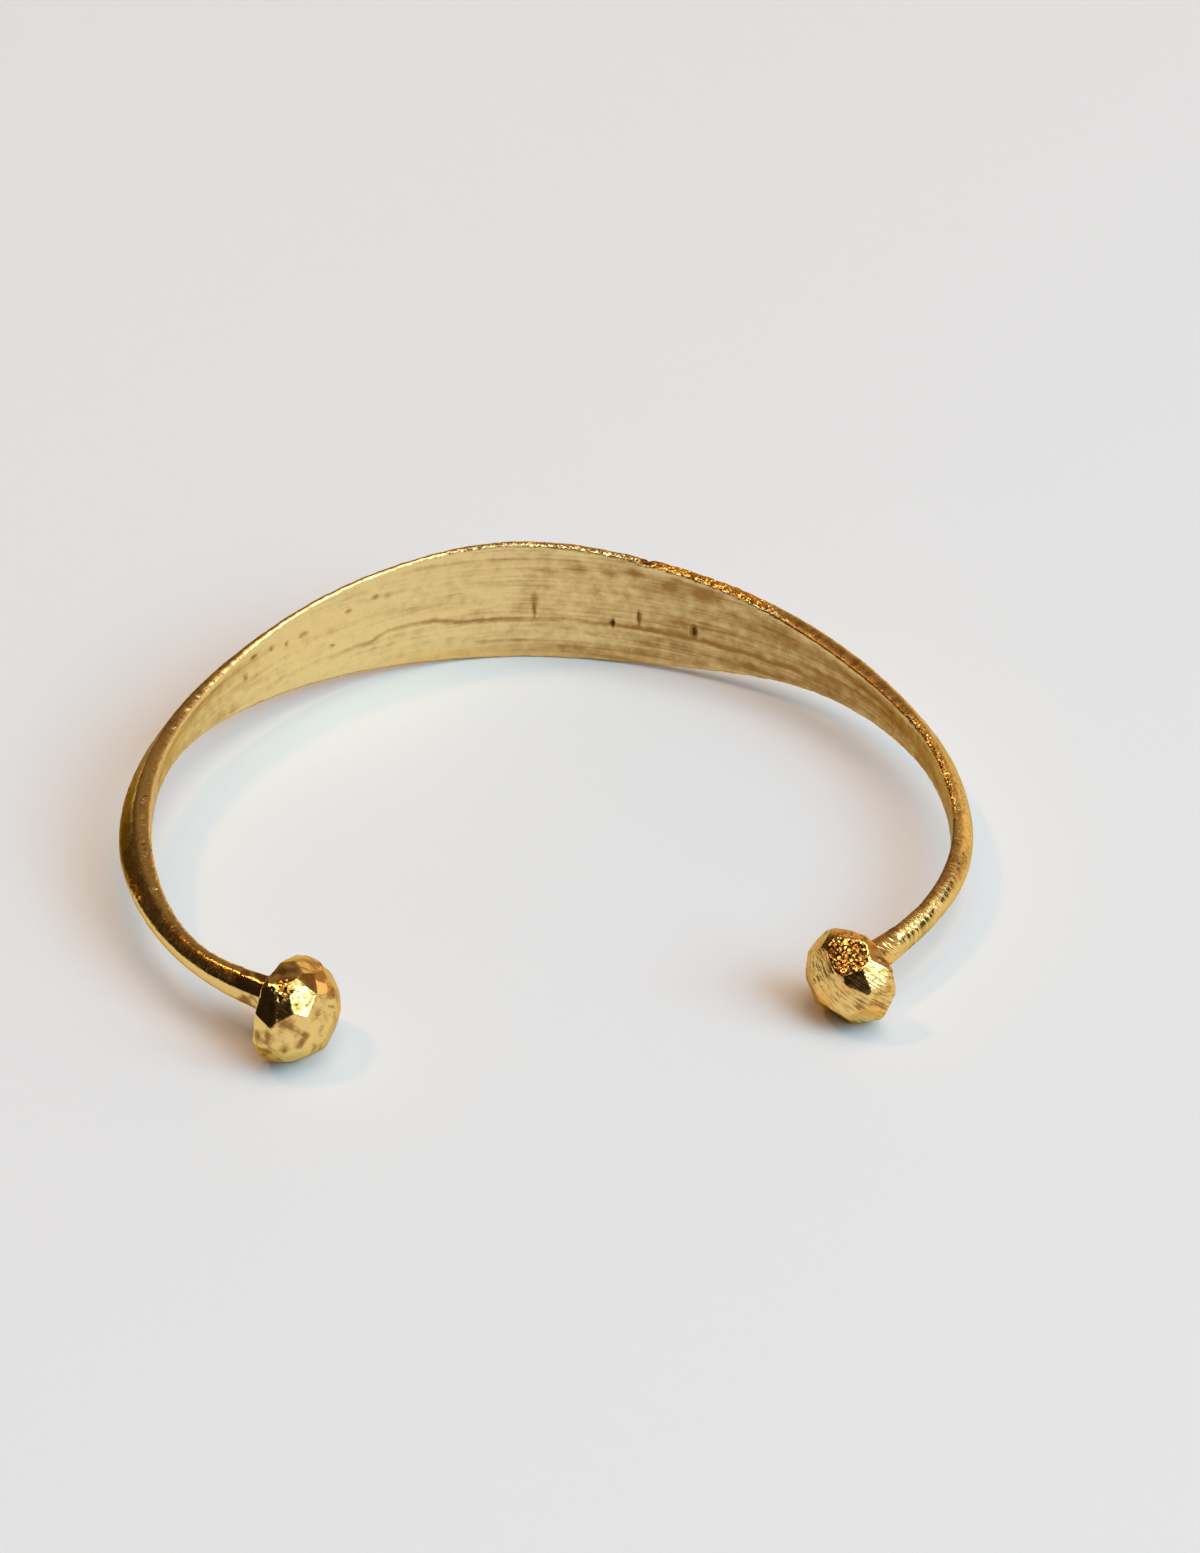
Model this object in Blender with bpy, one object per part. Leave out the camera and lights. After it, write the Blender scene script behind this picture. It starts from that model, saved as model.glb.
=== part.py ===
"""A cast brass cuff bracelet, lying on its side as it rests by itself.

The cuff is one piece of metal. A thin leaf-shaped band goes behind the wrist, and
both its points run out into slim faceted arms that end in hand-filed knobs.
Metres, +Z up. The mouth of the cuff faces -Y, the band's middle is at +Y, and the
origin lies on the surface, under the middle of the cuff's outline.
"""

from collections import namedtuple
from math import cos, radians, sin, sqrt

import bmesh
import bpy
import numpy as np
from mathutils import Matrix, Vector

MM = 0.001

# Driving sizes of the hoop, seen from above
WRIST_WIDTH = 60.8 * MM  # clear width inside, at the widest line
BACK_REACH = 29.1 * MM  # from the widest line back to the inside of the band
FRONT_REACH = 18.7 * MM  # from the widest line forward to the arms' ends
MOUTH_SPACING = 37.7 * MM  # between the insides of the arms' ends

# Driving sizes of the metal
BAND_HEIGHT = 11.3 * MM
BAND_WALL = 1.12 * MM
ARM_HEIGHT = 2.5 * MM
ARM_WALL = 1.9 * MM
CORNER_SOFTNESS = 0.22 * MM  # how far the worn corners are rounded back
CORNER_SHARE = 0.42  # most of a section's side that one rounded corner may take

# Driving sizes of the knobs
LEFT_KNOB_WIDTH = 7.75 * MM
LEFT_KNOB_LENGTH = 4.4 * MM
RIGHT_KNOB_WIDTH = 7.25 * MM
RIGHT_KNOB_LENGTH = 3.7 * MM
REST_WEAR = 0.1 * MM  # depth of the small flats worn where the cuff rests

# Stations along the metal at equal steps, from the band's middle to a knob.
# across, along: the inner face from above. Behind the widest line they are shares
#   of half WRIST_WIDTH and of BACK_REACH. In front of it along is a negative share
#   of FRONT_REACH, and across goes from 0 at the mouth to 1 at the widest line.
# leaf: height, 0 for the arm's and 1 for the band's.
# thick: wall, 0 for the band's and 1 for the arm's.
# edge: share of the wall that the flat upper and lower edges take.
# ridge: share of the height that is left at the outer face.
Station = namedtuple("Station", "across along leaf thick edge ridge")

MIDDLE = Station(-0.020, 1.000, 1.00, 0.04, 0.60, 0.50)
LEFT_ARM = (
    Station(0.273, 0.970, 0.88, -0.05, 0.45, 0.50),
    Station(0.510, 0.871, 0.66, 0.20, 0.35, 0.45),
    Station(0.718, 0.716, 0.41, 0.20, 0.30, 0.40),
    Station(0.886, 0.516, 0.19, 0.25, 0.35, 0.30),
    Station(0.978, 0.271, 0.09, 1.00, 0.45, 0.20),
    Station(0.998, 0.010, 0.03, 1.74, 0.45, 0.16),
    Station(0.918, -0.388, -0.01, 1.12, 0.45, 0.26),
    Station(0.633, -0.755, -0.02, 0.52, 0.45, 0.38),
    Station(0.115, -0.990, 0.08, 1.20, 0.45, 0.46),
)
RIGHT_ARM = (
    Station(0.234, 0.948, 0.92, 0.00, 0.70, 0.50),
    Station(0.474, 0.842, 0.71, 0.12, 0.85, 0.50),
    Station(0.687, 0.695, 0.41, 0.46, 0.80, 0.45),
    Station(0.855, 0.496, 0.22, 0.54, 0.55, 0.40),
    Station(0.964, 0.253, 0.09, 0.73, 0.45, 0.30),
    Station(1.000, -0.012, 0.03, 0.65, 0.45, 0.28),
    Station(0.882, -0.422, 0.00, 0.60, 0.50, 0.34),
    Station(0.524, -0.765, -0.01, 0.29, 0.50, 0.40),
    Station(0.066, -0.996, 0.08, 1.10, 0.45, 0.42),
)
RINGS_PER_STATION = 6

# Facets filed on the knobs.
# lean: degrees from the knob's axis, 0 for the facet that faces the mouth.
# turn: degrees about the axis from straight up, positive to the left seen from above.
# depth: how far out the facet lies, as a share of the round that it is filed from.
Facet = namedtuple("Facet", "lean turn depth")

LEFT_FACETS = (
    Facet(92, -3, 0.910),
    Facet(76, 18, 0.920),
    Facet(55, -2, 0.930),
    Facet(43, 15, 0.930),
    Facet(56, -27, 0.905),
    Facet(74, -44, 0.910),
    Facet(90, -51, 0.920),
    Facet(22, -18, 0.915),
    Facet(53, -73, 0.905),
    Facet(21, -98, 0.925),
    Facet(84, -114, 0.945),
    Facet(50, -117, 0.925),
    Facet(101, -79, 0.940),
    Facet(111, 24, 0.925),
    Facet(49, 50, 0.945),
    Facet(32, 64, 0.945),
    Facet(16, 151, 0.935),
    Facet(51, -151, 0.925),
    Facet(69, -143, 0.945),
    Facet(88, 178, 0.930),
    Facet(85, 62, 0.925),
    Facet(68, 90, 0.920),
    Facet(90, 112, 0.930),
    Facet(48, 112, 0.920),
    Facet(88, 148, 0.935),
    Facet(60, 155, 0.920),
)
RIGHT_FACETS = (
    Facet(58, 12, 0.875),
    Facet(46, 52, 0.922),
    Facet(71, 53, 0.905),
    Facet(31, 83, 0.915),
    Facet(10, 19, 0.930),
    Facet(27, -33, 0.915),
    Facet(99, -11, 0.940),
    Facet(97, 77, 0.940),
    Facet(95, 37, 0.940),
    Facet(67, 84, 0.925),
    Facet(48, 118, 0.920),
    Facet(39, 179, 0.870),
    Facet(43, -85, 0.900),
    Facet(70, -55, 0.907),
    Facet(111, -22, 0.950),
    Facet(67, 143, 0.930),
    Facet(33, -116, 0.912),
    Facet(111, 108, 0.935),
    Facet(90, -95, 0.940),
    Facet(66, -130, 0.925),
    Facet(92, -140, 0.940),
    Facet(90, 172, 0.940),
)

# A knob: where its metal is, which way it faces and how it is filed.
# heading: degrees that its axis turns from straight across towards the wearer.
# hang: how far its middle lies below the middle of its arm, as a share of its width.
Knob = namedtuple("Knob", "name side heading hang width length facets")

KNOBS = (
    Knob("left_knob", -1, 32, 0.036, LEFT_KNOB_WIDTH, LEFT_KNOB_LENGTH, LEFT_FACETS),
    Knob("right_knob", 1, 42, 0, RIGHT_KNOB_WIDTH, RIGHT_KNOB_LENGTH, RIGHT_FACETS),
)
KNOB_SWELL = 1.05  # the round before filing, as a share of the filed width
KNOB_NOSE = 0.78  # equator to nose before filing, as a share of the length
KNOB_BACK = 0.26  # equator to the flat back, as a share of the length
KNOB_DETAIL = 4  # subdivisions of the round
SURFACE_SPREAD = 3  # side of the block under the cuff, in sizes of the hoop

BRASS = (0.60, 0.42, 0.16, 1.0)
BRASS_ROUGHNESS = 0.32


def natural_curve(values, steps):
    """Read a smooth curve through a list of numbers, with steps points a gap."""
    values = np.asarray(values, dtype=float)
    last = len(values) - 1
    system = 4 * np.eye(last - 1) + np.eye(last - 1, k=1) + np.eye(last - 1, k=-1)
    bends = np.zeros(last + 1)
    bends[1:-1] = np.linalg.solve(system, 6 * np.diff(values, 2))
    places = np.linspace(0, last, last * steps + 1)
    gap = np.minimum(places.astype(int), last - 1)
    right = places - gap
    left = 1 - right
    straight = left * values[gap] + right * values[gap + 1]
    curved = (left**3 - left) * bends[gap] + (right**3 - right) * bends[gap + 1]
    return straight + curved / 6


def inner_point(station, side):
    """Place a station's inner face on the plan, from the hoop's driving sizes."""
    if station.along >= 0:
        return side * station.across * WRIST_WIDTH / 2, station.along * BACK_REACH
    mouth = MOUTH_SPACING / 2
    spread = mouth + (WRIST_WIDTH / 2 - mouth) * station.across
    return side * spread, station.along * FRONT_REACH


def section(height, wall, edge, ridge):
    """Corners of the metal's section, as (outward, up) from its inner face."""
    top = height / 2
    facet = top * ridge
    return (
        (0, -top),
        (0, top),
        (wall * edge, top),
        (wall, facet),
        (wall, -facet),
        (wall * edge, -top),
    )


def soften(corners, softness):
    """Round each corner of a section with a short three-point curve."""
    points = []
    for index, corner in enumerate(corners):
        corner = Vector(corner)
        before = Vector(corners[index - 1]) - corner
        after = Vector(corners[(index + 1) % len(corners)]) - corner
        room = min(before.length, after.length) * CORNER_SHARE
        reach = min(softness, room)
        start = corner + before.normalized() * reach
        end = corner + after.normalized() * reach
        points += [start, (start + 2 * corner + end) / 4, end]
    return points


def hoop_rings():
    """Work out the rings of points that the band and arms are lofted through."""
    rows = [(station, -1) for station in reversed(LEFT_ARM)]
    rows += [(MIDDLE, 1)]
    rows += [(station, 1) for station in RIGHT_ARM]
    plan = [inner_point(station, side) for station, side in rows]
    x, y = (natural_curve(column, RINGS_PER_STATION) for column in zip(*plan))
    heights = [ARM_HEIGHT + (BAND_HEIGHT - ARM_HEIGHT) * s.leaf for s, _ in rows]
    walls = [BAND_WALL + (ARM_WALL - BAND_WALL) * s.thick for s, _ in rows]
    edges = [s.edge for s, _ in rows]
    ridges = [s.ridge for s, _ in rows]
    measures = [
        natural_curve(column, RINGS_PER_STATION)
        for column in (heights, walls, edges, ridges)
    ]
    run = np.gradient(x), np.gradient(y)
    rings = []
    for index, measure in enumerate(zip(*measures)):
        along = Vector((run[0][index], run[1][index], 0)).normalized()
        outward = Vector((-along.y, along.x, 0))
        inside = Vector((x[index], y[index], 0))
        ring = [
            inside + outward * out + Vector((0, 0, up))
            for out, up in soften(section(*measure), CORNER_SOFTNESS)
        ]
        rings.append(ring)
    return rings


def loft(rings):
    """Skin a closed body over rings that have equally many points."""
    body = bmesh.new()
    loops = [[body.verts.new(point) for point in ring] for ring in rings]
    for here, there in zip(loops, loops[1:]):
        for index in range(len(here)):
            body.faces.new((here[index - 1], here[index], there[index], there[index - 1]))
    body.faces.new(loops[0])
    body.faces.new(loops[-1])
    bmesh.ops.recalc_face_normals(body, faces=body.faces)
    return body


def file_flat(body, place, normal):
    """Cut a body at a plane and close the cut with one flat face."""
    everything = body.verts[:] + body.edges[:] + body.faces[:]
    bmesh.ops.bisect_plane(
        body, geom=everything, plane_co=place, plane_no=normal, clear_outer=True
    )
    rim = [edge for edge in body.edges if edge.is_boundary]
    bmesh.ops.holes_fill(body, edges=rim)


def knob_body(knob):
    """Shape a knob about its own axis: +Z to the mouth, +Y up."""
    body = bmesh.new()
    bmesh.ops.create_icosphere(body, subdivisions=KNOB_DETAIL, radius=1)
    girth = knob.width / 2 * KNOB_SWELL
    nose = knob.length * KNOB_NOSE
    bmesh.ops.scale(body, vec=(girth, girth, nose), verts=body.verts)
    file_flat(body, Vector((0, 0, -knob.length * KNOB_BACK)), Vector((0, 0, -1)))
    for facet in knob.facets:
        lean, turn = radians(facet.lean), radians(facet.turn)
        normal = Vector((sin(lean) * sin(turn), sin(lean) * cos(turn), cos(lean)))
        reach = sqrt((girth * sin(lean)) ** 2 + (nose * cos(lean)) ** 2)
        file_flat(body, normal * reach * facet.depth, normal)
    return body


def knob_placement(knob, arm_end):
    """The matrix that sets a knob on its arm's end."""
    heading = radians(knob.heading)
    axis = Vector((-knob.side * cos(heading), -sin(heading), 0))
    up = Vector((0, 0, 1))
    aside = up.cross(axis)
    turn = Matrix((aside, up, axis)).transposed().to_4x4()
    middle = sum(arm_end, Vector()) / len(arm_end) - up * knob.hang * knob.width
    return Matrix.Translation(middle) @ turn


def lowest(body):
    return min(body.verts, key=lambda vert: vert.co.z).co.copy()


def rest_placement(band, left, right):
    """The turn and drop that set the band and both knobs on the surface."""
    normal = (left - band).cross(right - band).normalized()
    turn = normal.rotation_difference(Vector((0, 0, 1))).to_matrix().to_4x4()
    drop = (turn @ band).z + REST_WEAR
    return Matrix.Translation((0, 0, -drop)) @ turn


def centre_placement(bodies):
    """The shift that brings the middle of the outline over the origin."""
    points = [vert.co for body in bodies for vert in body.verts]
    middle_x = (min(p.x for p in points) + max(p.x for p in points)) / 2
    middle_y = (min(p.y for p in points) + max(p.y for p in points)) / 2
    return Matrix.Translation((-middle_x, -middle_y, 0))


def brass():
    material = bpy.data.materials.new("cast_brass")
    material.use_nodes = True
    shader = material.node_tree.nodes["Principled BSDF"]
    shader.inputs["Base Color"].default_value = BRASS
    shader.inputs["Metallic"].default_value = 1.0
    shader.inputs["Roughness"].default_value = BRASS_ROUGHNESS
    return material


def collection(name):
    made = bpy.data.collections.new(name)
    bpy.context.scene.collection.children.link(made)
    return made


def place_object(name, body, group):
    """Turn a modelled body into an object of a collection."""
    mesh = bpy.data.meshes.new(name)
    body.to_mesh(mesh)
    body.free()
    made = bpy.data.objects.new(name, mesh)
    group.objects.link(made)
    return made


def make_guide(guide):
    guide.hide_render = True
    guide.display_type = "WIRE"


def combine(part, other, operation):
    modifier = part.modifiers.new(other.name, "BOOLEAN")
    modifier.operation = operation
    modifier.solver = "EXACT"
    modifier.object = other


def surface_body():
    """A block whose top is the surface that the cuff rests on."""
    block = bmesh.new()
    side = SURFACE_SPREAD * max(WRIST_WIDTH, BACK_REACH + FRONT_REACH)
    bmesh.ops.create_cube(block, size=side)
    bmesh.ops.translate(block, vec=(0, 0, -side / 2), verts=block.verts)
    return block


def main():
    for old in list(bpy.data.objects):
        bpy.data.objects.remove(old)

    rings = hoop_rings()
    hoop = loft(rings)
    ends = {-1: rings[0], 1: rings[-1]}
    knobs = []
    for knob in KNOBS:
        body = knob_body(knob)
        body.transform(knob_placement(knob, ends[knob.side]))
        knobs.append(body)

    bodies = [hoop] + knobs
    settle = rest_placement(*(lowest(body) for body in bodies))
    for body in bodies:
        body.transform(settle)
    centre = centre_placement(bodies)
    for body in bodies:
        body.transform(centre)

    parts = collection("cuff_bracelet")
    cutters = collection("cutters")
    cuff = place_object("cuff", hoop, parts)
    cuff.data.materials.append(brass())
    for knob, body in zip(KNOBS, knobs):
        metal = place_object(knob.name, body, cutters)
        make_guide(metal)
        combine(cuff, metal, "UNION")
    surface = place_object("surface", surface_body(), cutters)
    make_guide(surface)
    combine(cuff, surface, "DIFFERENCE")


main()
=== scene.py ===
"""The looks of an open cast brass cuff, lying on its side on a pale studio floor.

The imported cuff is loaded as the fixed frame. A detailed casting is made round a copy
of it, its surface is worked, and it gets its brass. Then the stage is set.
+Z is up and the mouth faces -Y. Blender's own sizes are metres. Places on the hoop and
all that is worked into the metal are in millimetres.
"""

from math import cos, pi, radians, sin
from types import SimpleNamespace

import bpy
from bpy.props import FloatProperty, FloatVectorProperty, PointerProperty
from mathutils import Matrix, Vector


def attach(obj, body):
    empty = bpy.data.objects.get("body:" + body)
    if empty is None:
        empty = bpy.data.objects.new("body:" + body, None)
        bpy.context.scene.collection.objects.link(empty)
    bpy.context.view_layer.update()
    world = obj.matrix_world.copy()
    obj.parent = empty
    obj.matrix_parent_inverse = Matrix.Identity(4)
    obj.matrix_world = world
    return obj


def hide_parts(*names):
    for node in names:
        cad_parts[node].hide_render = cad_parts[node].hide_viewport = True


bl_info = {
    "name": "Cast Brass Cuff",
    "version": (1, 0, 0),
    "blender": (4, 5, 0),
    "location": "3D View > Sidebar > Cuff",
    "description": "Casts, files and lights an open brass cuff round its solid",
    "category": "Object",
}

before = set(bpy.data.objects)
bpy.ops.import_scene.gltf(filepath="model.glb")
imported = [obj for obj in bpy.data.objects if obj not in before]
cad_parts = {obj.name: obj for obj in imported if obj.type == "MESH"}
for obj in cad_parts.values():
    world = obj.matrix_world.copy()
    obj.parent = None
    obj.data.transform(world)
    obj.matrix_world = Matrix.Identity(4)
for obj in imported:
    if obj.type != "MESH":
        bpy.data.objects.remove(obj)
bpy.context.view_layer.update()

MM = 0.001
SOLID = "cuff"
CASTING = "cast_cuff"

# The hoop that the metal follows: a centre for turning round it, the radius that makes
# arc lengths of angles, and the height of the metal's middle, which rises with Y.
HOOP_CENTRE = (0.0, -3.5)
HOOP_RADIUS = 29.5
MIDDLE_HEIGHT_AT_CENTRE = 4.55
MIDDLE_HEIGHT_SLOPE = 0.0375

# The middle line of each arm, as its distance from the hoop's centre: a constant, then
# what goes with the arc length and with its square.
LEFT_ARM_LINE = (22.03, 0.4262, -0.00485)
RIGHT_ARM_LINE = (18.96, 0.5661, -0.006305)

# The upper rim of each half, as its height over the metal's middle, in the same way
LEFT_RIM_LINE = (7.43, -0.2293, 0.002316)
RIGHT_RIM_LINE = (7.92, -0.2754, 0.00278)

# Where the upper inner rim leans in: the rim, how far under it that starts, the middle
# and half length of the stretch, and its strength
LEANING_RIMS = (
    (LEFT_RIM_LINE, 2.2, -32.0, 15.0, 1.0),
    (RIGHT_RIM_LINE, 2.0, 31.0, 12.0, 0.8),
)
RIM_EDGE = 0.2
LEAN_DEPTH = 0.5

# Arc lengths, from the band's middle and positive to the right
HALVES_MEET = (-1.0, 1.0)
ARMS_BEGIN = (33.0, 41.0)
NECK_BEGINS = (50.0, 60.0)
# Where the painted highlight on the right arm's neck begins
NECK_HIGHLIGHT_BEGINS = (57.0, 59.5)
RIM_ROUGHENS = (-6.0, 4.0)

# Stretches of the hoop by arc length: where each begins, is whole, fades and ends
SPECKLED_RIM = (-8.0, -3.0, 11.0, 14.0)
GLINTING_RIM = (9.0, 14.0, 20.0, 25.0)
# Where the band's upward inner faces get a painted dark reflection
PAINTED_DARK_REFLECTION_STRETCH = (20.0, 26.0, 36.0, 41.0)
GLINTING_ARM = (36.0, 39.0, 47.0, 52.0)
DULL_OUTER_SIDE = (-54.0, -49.0, -31.0, -27.0)

# The knobs: their middles, how far they reach, over what length their mask fades, and
# how far the finer faces reach
LEFT_KNOB = (-20.3, -22.95, 3.75)
RIGHT_KNOB = (20.55, -22.97, 3.6)
KNOB_REACH = 4.5
KNOB_FADE = 0.7
KNOB_REFINED_REACH = KNOB_REACH + 1.0

# The directions of the facets whose film, oxide and glitter are their own, laid on as painted
# reflections that make them darker or lighter, how nearly a normal has to follow them, and the
# place of the left knob's glittering crest, which is tinted amber as a painted orange highlight
SPARKLING_FACET = (-0.267, -0.515, 0.814)
DARK_FACET = (-0.132, -0.901, 0.412)
LEFT_TOP_FACET = (-0.047, -0.062, 0.997)
LEFT_SIDE_FACET = (0.480, -0.357, 0.801)
LEFT_BACK_FACET = (0.378, 0.088, 0.922)
LEFT_BRIGHT_FACET = (0.120, -0.690, 0.714)
FACET_LIKENESS = (0.955, 0.98)
LEFT_KNOB_CREST = (-20.9, -24.6, 6.9)

# Marks on the band's inner face. A spot has its arc length, its height over the metal's
# middle, its half length, its half height and, where that isn't 1, its strength.
DENTS = (
    (1.57, -0.85, 0.22, 0.95, 0.55),
    (8.17, -1.4, 0.26, 0.65, 0.7),
    (10.45, -0.5, 0.24, 1.0, 0.65),
    (15.27, -0.8, 0.42, 0.9, 1.0),
)
FRECKLES = (
    (-11.8, 2.8, 0.48, 0.39),
    (-14.2, 2.2, 0.54, 0.36),
    (-18.5, 1.75, 0.67, 0.42),
    (-20.2, 1.6, 0.35, 0.39),
    (-21.8, 2.0, 0.42, 0.51),
    (-23.7, 2.2, 0.48, 0.36),
    (-15.8, -0.6, 0.35, 0.33),
    (-24.5, 0.6, 0.48, 0.48),
)
BLOTCHES = (
    (5.2, 3.5, 1.2, 0.55),
    (7.9, 3.4, 1.3, 0.5),
    (10.3, 3.8, 1.1, 0.55),
    (13.0, 3.1, 1.2, 0.7),
    (16.6, 3.0, 1.9, 0.6),
    (1.6, 0.3, 0.5, 1.1),
)

# Where a spot begins to fade and where it is gone, in shares of its half length
SPOT_CORE = 0.35
SPOT_EDGE = 1.1

# The nick in the band's upper rim, by arc length
NICK_PLACE = 10.9
NICK_HALF_LENGTH = 0.8

# The groove along the band's inner face: its level, how far it wanders, how far it steps
# up and where, its half widths, and the arc lengths where it fades in, narrows and ends
GROOVE_LEVEL = -1.6
GROOVE_WANDER = 0.35
GROOVE_STEP = 0.75
GROOVE_STEP_BEGINS = (-13.0, -11.0)
GROOVE_STEP_MIDDLE = -9.0
GROOVE_STEP_REACH = 6.0
GROOVE_HALF_WIDTH = 0.40
GROOVE_CORE_HALF_WIDTH = 0.24
GROOVE_NARROWING = 0.7
GROOVE_FADES_IN = (-27.0, -8.0)
GROOVE_NARROWS = (16.0, 22.0)
GROOVE_ENDS = (22.0, 27.0)

# A height over the surface round it that counts as a full ridge, and the rounds of
# blurring that find that surface
RIDGE_HEIGHT = 0.06
RIDGE_BLUR_ROUNDS = 5

# How rough the brass is, bare, under its film and under its oxide
OUTER_ROUGHNESS = 0.20
INNER_ROUGHNESS = 0.34
RUBBED_ROUGHNESS = 0.13
FILM_ROUGHNESS = 0.34
KNOB_FILM_ROUGHNESS = 0.20
OXIDE_ROUGHNESS = 0.60
DARK_FACET_ROUGHNESS = 0.10

# The scratches: their slant in radians, their scale along three axes, and their depth
SCRATCH_SLANT = 0.9
SCRATCH_SCALE = (5.2, 1.7, 0.5)
SCRATCH_DEPTH = 0.035
SCRATCH_STRENGTH = 0.7

# The lamps: azimuth and elevation in degrees, distance and size in metres, how bright
# the face looks, and the setting that holds the colour
LAMPS = (
    ("window", 126, 38, 2.2, (1.62, 1.30), 6.2, "cool_window"),
    ("skylight", 150, 62, 2.8, (1.90, 1.40), 1.35, "cool_window"),
    ("overhead", 110, 76, 2.8, (1.90, 1.90), 2.1, "warm_room"),
    ("warm_lamp", -72, 61, 2.0, (0.24, 0.24), 34.0, "lamp_glow"),
)

# How bright the room is: all walls, what the back and the right add, how much is left at
# the left, the glow low on the right, the ceiling, and the backdrop that the camera sees
WALL_TONE = 0.06
BACK_TONE = 0.17
RIGHT_TONE = 0.32
LEFT_SHARE = 0.3
GLOW_TONE = 0.58
CEILING_TONE = 0.8
BACKDROP = (0.78, 0.78, 0.78, 1.0)

FLOOR_SIDE = 6.0
FLOOR_ROUGHNESS = 0.7
FLOOR_SPECULAR = 0.2

# The camera, worked out from the cuff's outline in the photograph: its angles in degrees,
# its distance from the pivot, how far the pivot is off its axis, and its focal length
CAMERA_TURN = 5.642
CAMERA_ELEVATION = 36.0
CAMERA_DISTANCE = 0.350
CAMERA_ASIDE = -4.389 * MM
CAMERA_ABOVE = -1.232 * MM
CAMERA_PIVOT = (0.0, 0.0, 5 * MM)
FOCAL_LENGTH_PIXELS = 4570.2
FRAME_HEIGHT_PIXELS = 1553
SENSOR_SIZE = 36.0


def add(tree, kind, inputs=(), **settings):
    """Add a node. An input that is a socket is joined, and any other is set."""
    made = tree.nodes.new(kind)
    for name, value in settings.items():
        setattr(made, name, value)
    for key, value in dict(inputs).items():
        if isinstance(value, bpy.types.NodeSocket):
            tree.links.new(value, made.inputs[key])
        else:
            made.inputs[key].default_value = value
    return made


def maths(tree, operation, *values):
    return add(
        tree, "ShaderNodeMath", dict(enumerate(values)), operation=operation
    ).outputs[0]


def vector_maths(tree, operation, *values):
    made = add(
        tree, "ShaderNodeVectorMath", dict(enumerate(values)), operation=operation
    )
    scalar = operation in ("LENGTH", "DISTANCE", "DOT_PRODUCT")
    return made.outputs["Value" if scalar else "Vector"]


def scaled(tree, vector, factor):
    inputs = {"Vector": vector, "Scale": factor}
    return add(tree, "ShaderNodeVectorMath", inputs, operation="SCALE").outputs["Vector"]


def joined(tree, *values):
    """One vector of two or three values."""
    return add(tree, "ShaderNodeCombineXYZ", dict(enumerate(values))).outputs[0]


def separated(tree, vector):
    """The three values of a vector."""
    return add(tree, "ShaderNodeSeparateXYZ", {0: vector}).outputs


def stretched(tree, first, second, first_scale, second_scale):
    """A place whose pattern is drawn out along one of its two directions."""
    return joined(
        tree,
        maths(tree, "MULTIPLY", first, first_scale),
        maths(tree, "MULTIPLY", second, second_scale),
    )


def product(tree, *values):
    total = values[0]
    for value in values[1:]:
        total = maths(tree, "MULTIPLY", total, value)
    return total


def total_of(tree, *values):
    total = values[0]
    for value in values[1:]:
        total = maths(tree, "ADD", total, value)
    return total


def layered(tree, *layers):
    """Add up layers, each the product of an amount and of the masks that limit it."""
    return total_of(tree, *(product(tree, *layer) for layer in layers))


def mix_value(tree, share, first, second):
    return add(
        tree, "ShaderNodeMix", {0: share, 2: first, 3: second}, data_type="FLOAT"
    ).outputs[0]


def mix_colour(tree, share, first, second):
    return add(
        tree, "ShaderNodeMix", {0: share, 6: first, 7: second}, data_type="RGBA"
    ).outputs[2]


def colour(value):
    return (*value, 1.0)


def ramp(tree, value, start, end, low=0.0, high=1.0):
    """Go smoothly from low to high as a value goes from start to end."""
    inputs = {0: value, 1: start, 2: end, 3: low, 4: high}
    return add(
        tree, "ShaderNodeMapRange", inputs, interpolation_type="SMOOTHSTEP"
    ).outputs[0]


def fade(tree, value, start, end):
    """Go smoothly from 1 to 0 as a value goes from start to end."""
    return ramp(tree, value, start, end, 1.0, 0.0)


def bump_at(tree, value, middle, reach):
    """1 at the middle, falling smoothly to 0 at reach on both sides."""
    away = maths(tree, "ABSOLUTE", maths(tree, "SUBTRACT", value, middle))
    return fade(tree, away, 0.0, reach)


def stretch_mask(tree, along, stretch):
    """1 on a stretch of the hoop, with both of its ends faded."""
    start, whole, fading, end = stretch
    return product(tree, ramp(tree, along, start, whole), fade(tree, along, fading, end))


def right_half(tree, along):
    return ramp(tree, along, *HALVES_MEET)


def noise(tree, place, scale, detail=2.0, roughness=0.5):
    inputs = {"Vector": place, "Scale": scale, "Detail": detail, "Roughness": roughness}
    return add(tree, "ShaderNodeTexNoise", inputs).outputs[0]


def centred_noise(tree, place, scale, detail=2.0, roughness=0.5):
    """Noise that goes from about -1 to 1."""
    plain = noise(tree, place, scale, detail, roughness)
    return maths(tree, "MULTIPLY", maths(tree, "SUBTRACT", plain, 0.5), 2.0)


def curve_at(tree, along, curve):
    """The value of a curve at an arc length, which counts from the band's middle."""
    constant, slope, bend = curve
    away = maths(tree, "ABSOLUTE", along)
    rise = maths(tree, "MULTIPLY_ADD", away, bend, slope)
    return maths(tree, "MULTIPLY_ADD", rise, away, constant)


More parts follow.
